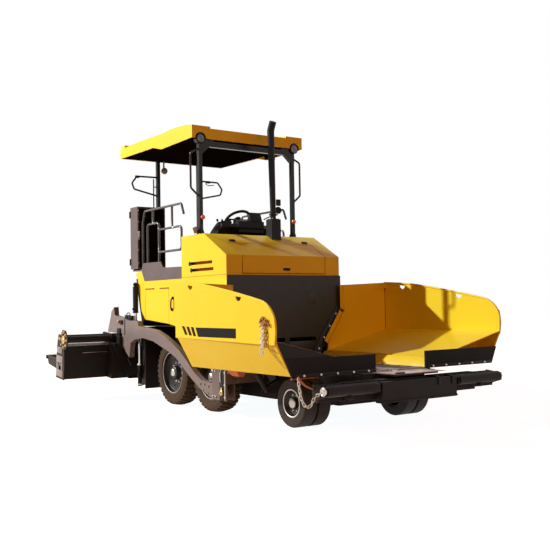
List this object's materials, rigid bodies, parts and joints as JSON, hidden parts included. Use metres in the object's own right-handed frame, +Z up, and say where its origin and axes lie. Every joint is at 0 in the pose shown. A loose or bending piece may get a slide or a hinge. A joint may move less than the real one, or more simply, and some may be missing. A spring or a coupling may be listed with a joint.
{
  "type": "wheeled asphalt paver",
  "caption": "Wheeled asphalt paver with an open folding hopper in front, engine hood, canopy over the platform, tow arms and a raised extending screed.",
  "frame": {"origin": "middle of the machine's length and width, on the ground", "axes": "+X forward (hopper end), +Y left, +Z up"},
  "size_m": [6.2493, 3.9, 3.9581],
  "materials": {
    "yellow_paint": "gloss",
    "grey_paint": "satin",
    "black_paint": "satin",
    "rim_paint": "satin",
    "tyre_rubber": "dusty",
    "flap_rubber": "matt",
    "worn_steel": "worn",
    "rod_chrome": "polished",
    "seat_vinyl": "vinyl",
    "console_plastic": "moulded",
    "engine_iron": "cast"
  },
  "bodies": {
    "chassis": {"main_frame": "black_paint", "tow_brackets": "grey_paint", "front_frame": "black_paint", "auger_frame": "black_paint", "engine_block": "engine_iron", "hood_shell": "yellow_paint", "rear_body_shell": "yellow_paint", "platform_deck": "grey_paint", "handrails": "black_paint", "seat_frames": "black_paint", "seat_cushions": "seat_vinyl", "console": "console_plastic", "canopy_roof": "yellow_paint", "canopy_frame": "black_paint", "exhaust": "black_paint", "gas_cabinet": "grey_paint", "hopper_rear_wall": "black_paint", "conveyor": "worn_steel", "front_axle": "black_paint", "rear_bogies": "black_paint"},
    "hood_lid": {"hood_lid": "yellow_paint"},
    "cabinet_door": {"gas_cabinet_door": "grey_paint"},
    "push_beam": {"push_beam": "black_paint"},
    "screed": {"tow_arms": "grey_paint", "screed_main": "black_paint"},
    "rear_wheel_right_1": {"rear_rim_right_1": "rim_paint", "rear_tyre_right_1": "tyre_rubber"},
    "rear_wheel_right_2": {"rear_rim_right_2": "rim_paint", "rear_tyre_right_2": "tyre_rubber"},
    "steering_right": {"knuckle_right": "black_paint"},
    "front_wheel_right": {"front_hub_right": "rim_paint", "front_tyres_right": "tyre_rubber"},
    "wing_right": {"hopper_wing_right": "yellow_paint", "flap_right": "flap_rubber"},
    "wing_cylinder_right": {"wing_barrel_right": "black_paint"},
    "wing_ram_right": {"wing_rod_right": "rod_chrome"},
    "lift_cylinder_right": {"lift_barrel_right": "black_paint"},
    "lift_ram_right": {"lift_rod_right": "rod_chrome"},
    "extension_right": {"screed_extension_right": "black_paint"},
    "auger_right": {"auger_right": "worn_steel"},
    "push_roller_right": {"push_roller_right": "black_paint"},
    "side_door_right": {"side_door_right": "yellow_paint"},
    "rear_wheel_left_1": {"rear_rim_left_1": "rim_paint", "rear_tyre_left_1": "tyre_rubber"},
    "rear_wheel_left_2": {"rear_rim_left_2": "rim_paint", "rear_tyre_left_2": "tyre_rubber"},
    "steering_left": {"knuckle_left": "black_paint"},
    "front_wheel_left": {"front_hub_left": "rim_paint", "front_tyres_left": "tyre_rubber"},
    "wing_left": {"hopper_wing_left": "yellow_paint", "flap_left": "flap_rubber"},
    "wing_cylinder_left": {"wing_barrel_left": "black_paint"},
    "wing_ram_left": {"wing_rod_left": "rod_chrome"},
    "lift_cylinder_left": {"lift_barrel_left": "black_paint"},
    "lift_ram_left": {"lift_rod_left": "rod_chrome"},
    "extension_left": {"screed_extension_left": "black_paint"},
    "auger_left": {"auger_left": "worn_steel"},
    "push_roller_left": {"push_roller_left": "black_paint"},
    "side_door_left": {"side_door_left": "yellow_paint"}
  },
  "joints": [
    {"name": "screed_lift", "type": "hinge", "parent": "chassis", "child": "screed", "pos_m": [0.75, 0, 0.305], "axis": [0, 1, 0], "range_deg": [-5.4, 0]},
    {"name": "rear_wheel_right_1_spin", "type": "hinge", "parent": "chassis", "child": "rear_wheel_right_1", "pos_m": [-0.8, -0.84, 0.457], "axis": [0, 1, 0], "continuous": true},
    {"name": "rear_wheel_right_2_spin", "type": "hinge", "parent": "chassis", "child": "rear_wheel_right_2", "pos_m": [0.24, -0.84, 0.457], "axis": [0, 1, 0], "continuous": true},
    {"name": "steer_right", "type": "hinge", "parent": "chassis", "child": "steering_right", "pos_m": [2.016, -0.5, 0.272], "axis": [0, 0, 1], "range_deg": [-20, 20]},
    {"name": "front_wheel_right_spin", "type": "hinge", "parent": "steering_right", "child": "front_wheel_right", "pos_m": [2.016, -0.773, 0.272], "axis": [0, 1, 0], "continuous": true},
    {"name": "wing_right_fold", "type": "hinge", "parent": "chassis", "child": "wing_right", "pos_m": [1.7, -0.6, 0.7], "axis": [-1, 0, 0], "range_deg": [0, 55]},
    {"name": "wing_cylinder_right_turn", "type": "hinge", "parent": "chassis", "child": "wing_cylinder_right", "pos_m": [1.25, -0.75, 0.35], "axis": [-1, 0, 0], "range_deg": [0, 32.23]},
    {"name": "wing_ram_right_run", "type": "slide", "parent": "wing_cylinder_right", "child": "wing_ram_right", "axis": [0, -0.5633, 0.8262], "range_m": [0, 0.2435]},
    {"name": "lift_cylinder_right_turn", "type": "hinge", "parent": "chassis", "child": "lift_cylinder_right", "pos_m": [-1.93, -0.962, 1.72], "axis": [0, 1, 0], "range_deg": [0, 5.18]},
    {"name": "lift_ram_right_run", "type": "slide", "parent": "lift_cylinder_right", "child": "lift_ram_right", "axis": [0, 0, -1], "range_m": [0, 0.2637]},
    {"name": "extension_right_slide", "type": "slide", "parent": "screed", "child": "extension_right", "axis": [0, -1, 0], "range_m": [-0.68, 0.12]},
    {"name": "auger_right_spin", "type": "hinge", "parent": "chassis", "child": "auger_right", "pos_m": [-1.82, -0.47, 0.372], "axis": [0, 1, 0], "continuous": true},
    {"name": "push_roller_right_spin", "type": "hinge", "parent": "push_beam", "child": "push_roller_right", "pos_m": [3.065, -0.95, 0.505], "axis": [0, 1, 0], "continuous": true},
    {"name": "side_door_right_open", "type": "hinge", "parent": "chassis", "child": "side_door_right", "pos_m": [-1.3, -0.92, 1.645], "axis": [-1, 0, 0], "range_deg": [0, 85]},
    {"name": "rear_wheel_left_1_spin", "type": "hinge", "parent": "chassis", "child": "rear_wheel_left_1", "pos_m": [-0.8, 0.84, 0.457], "axis": [0, 1, 0], "continuous": true},
    {"name": "rear_wheel_left_2_spin", "type": "hinge", "parent": "chassis", "child": "rear_wheel_left_2", "pos_m": [0.24, 0.84, 0.457], "axis": [0, 1, 0], "continuous": true},
    {"name": "steer_left", "type": "hinge", "parent": "chassis", "child": "steering_left", "pos_m": [2.016, 0.5, 0.272], "axis": [0, 0, 1], "range_deg": [-20, 20]},
    {"name": "front_wheel_left_spin", "type": "hinge", "parent": "steering_left", "child": "front_wheel_left", "pos_m": [2.016, 0.773, 0.272], "axis": [0, 1, 0], "continuous": true},
    {"name": "wing_left_fold", "type": "hinge", "parent": "chassis", "child": "wing_left", "pos_m": [1.7, 0.6, 0.7], "axis": [1, 0, 0], "range_deg": [0, 55]},
    {"name": "wing_cylinder_left_turn", "type": "hinge", "parent": "chassis", "child": "wing_cylinder_left", "pos_m": [1.25, 0.75, 0.35], "axis": [1, 0, 0], "range_deg": [0, 32.23]},
    {"name": "wing_ram_left_run", "type": "slide", "parent": "wing_cylinder_left", "child": "wing_ram_left", "axis": [0, 0.5633, 0.8262], "range_m": [0, 0.2435]},
    {"name": "lift_cylinder_left_turn", "type": "hinge", "parent": "chassis", "child": "lift_cylinder_left", "pos_m": [-1.93, 0.962, 1.72], "axis": [0, 1, 0], "range_deg": [0, 5.18]},
    {"name": "lift_ram_left_run", "type": "slide", "parent": "lift_cylinder_left", "child": "lift_ram_left", "axis": [0, 0, -1], "range_m": [0, 0.2637]},
    {"name": "extension_left_slide", "type": "slide", "parent": "screed", "child": "extension_left", "axis": [0, 1, 0], "range_m": [-0.68, 0.12]},
    {"name": "auger_left_spin", "type": "hinge", "parent": "chassis", "child": "auger_left", "pos_m": [-1.82, 0.47, 0.372], "axis": [0, 1, 0], "continuous": true},
    {"name": "push_roller_left_spin", "type": "hinge", "parent": "push_beam", "child": "push_roller_left", "pos_m": [3.065, 0.95, 0.505], "axis": [0, 1, 0], "continuous": true},
    {"name": "side_door_left_open", "type": "hinge", "parent": "chassis", "child": "side_door_left", "pos_m": [-1.3, 0.92, 1.645], "axis": [1, 0, 0], "range_deg": [0, 85]},
    {"name": "push_beam_swing", "type": "hinge", "parent": "chassis", "child": "push_beam", "pos_m": [2.76, 0, 0.38], "axis": [0, 0, 1], "range_deg": [-4, 4]},
    {"name": "hood_lid_open", "type": "hinge", "parent": "chassis", "child": "hood_lid", "pos_m": [0.3, 0, 2.21511], "axis": [0, -1, 0], "range_deg": [0, 75]},
    {"name": "cabinet_door_open", "type": "hinge", "parent": "chassis", "child": "cabinet_door", "pos_m": [-2.15, -0.93, 2.4], "axis": [0, 0, -1], "range_deg": [0, 110]}
  ],
  "couplings": [
    {"joint": "wing_cylinder_right_turn", "follows": "wing_right_fold", "ratio": 0.57692},
    {"joint": "wing_ram_right_run", "follows": "wing_right_fold", "m_per_rad": 0.24842},
    {"joint": "lift_cylinder_right_turn", "follows": "screed_lift", "ratio": -0.86681},
    {"joint": "lift_ram_right_run", "follows": "screed_lift", "m_per_rad": -2.7452},
    {"joint": "wing_cylinder_left_turn", "follows": "wing_left_fold", "ratio": 0.57692},
    {"joint": "wing_ram_left_run", "follows": "wing_left_fold", "m_per_rad": 0.24842},
    {"joint": "lift_cylinder_left_turn", "follows": "screed_lift", "ratio": -0.86681},
    {"joint": "lift_ram_left_run", "follows": "screed_lift", "m_per_rad": -2.7452},
    {"joint": "steer_left", "follows": "steer_right", "ratio": 1}
  ]
}
